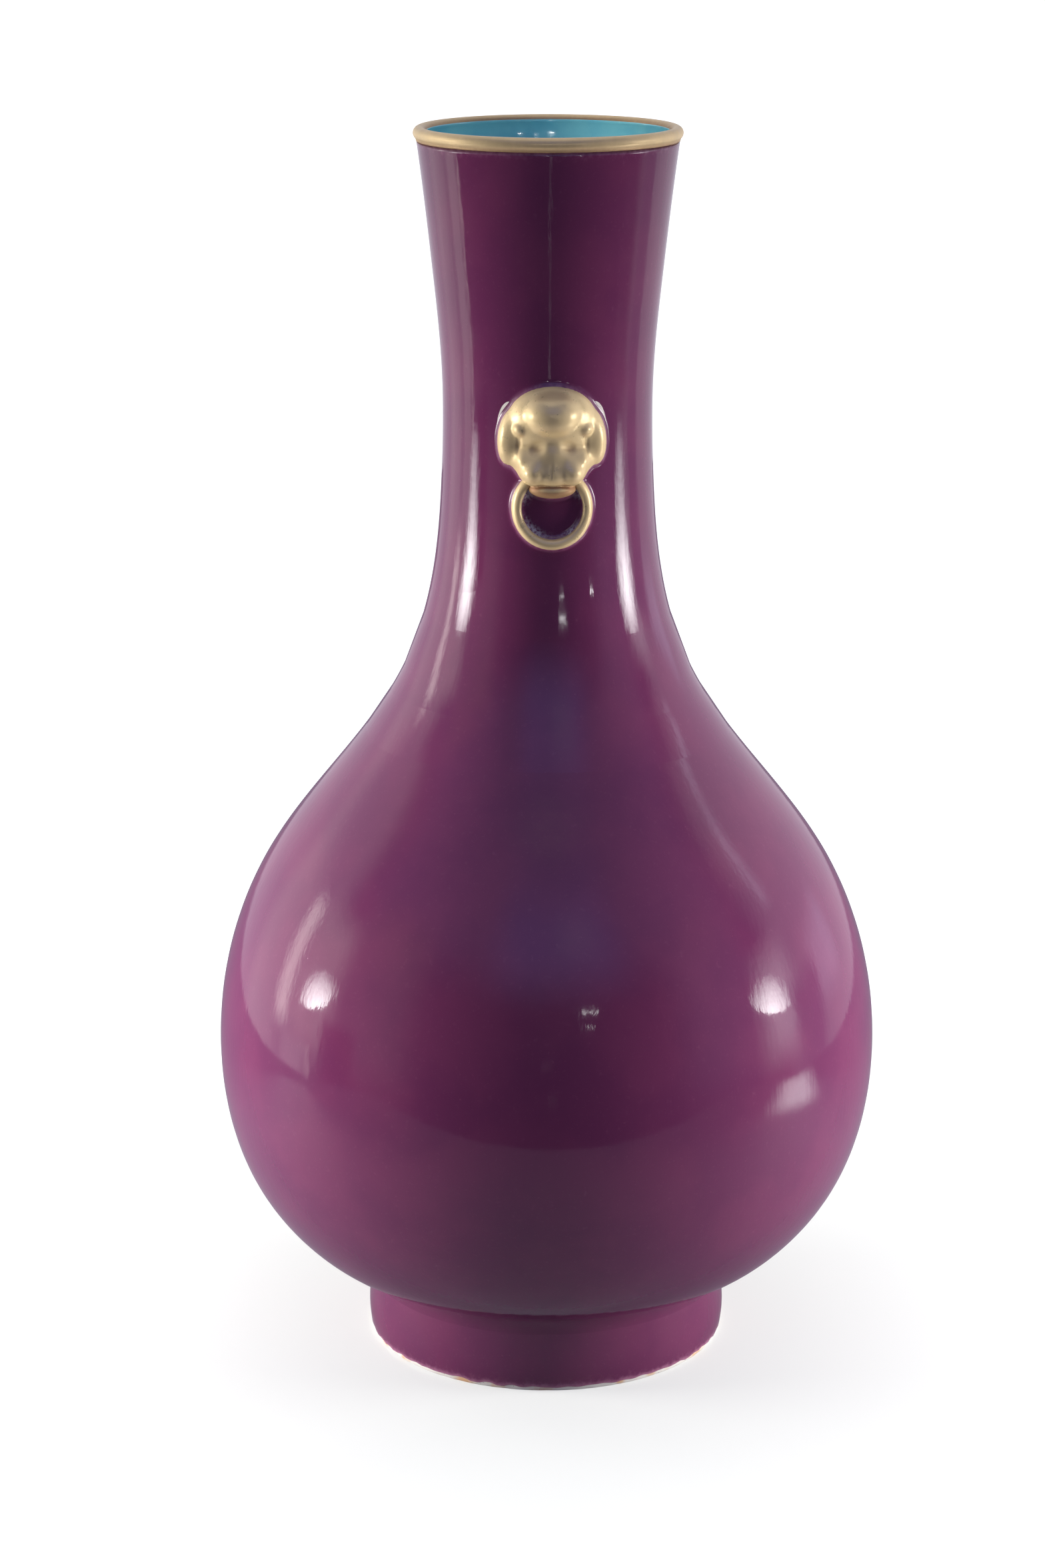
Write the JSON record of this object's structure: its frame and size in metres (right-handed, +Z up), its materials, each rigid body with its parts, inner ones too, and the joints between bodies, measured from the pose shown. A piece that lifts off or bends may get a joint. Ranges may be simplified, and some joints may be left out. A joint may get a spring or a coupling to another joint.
{
  "type": "vase",
  "caption": "Bottle vase in aubergine-glazed porcelain with a long flared neck, gilt rolled lip, turquoise inside and gilt mask-and-ring ornaments.",
  "frame": {"origin": "centre of the foot ring's resting plane", "axes": "+Z up along the vase's axis to the mouth, -Y out through the front mask, +X to the right seen from the front"},
  "size_m": [0.2158, 0.2158, 0.4],
  "materials": {
    "purple_glaze": "glossy aubergine glaze",
    "turquoise_glaze": "glossy turquoise glaze",
    "porcelain": "fired, unglazed",
    "slip": "fired, unglazed",
    "gilding": "satin gilding over moulded clay, reddish in its recesses"
  },
  "bodies": {
    "root": {"foot_ring": "porcelain", "foot_slip": "slip", "lower_bowl": "porcelain", "belly_slip": "slip", "upper_bowl": "porcelain", "shoulder_slip": "slip", "neck_tube": "porcelain", "neck_slip": "slip", "neck_mouth": "porcelain", "lip_roll": "gilding", "outer_glaze": "purple_glaze", "inner_glaze": "turquoise_glaze", "recess_glaze": "turquoise_glaze", "front_mask": "gilding", "back_mask": "gilding", "front_mask_slip": "slip", "back_mask_slip": "slip", "front_ring": "gilding", "back_ring": "gilding"}
  },
  "joints": []
}
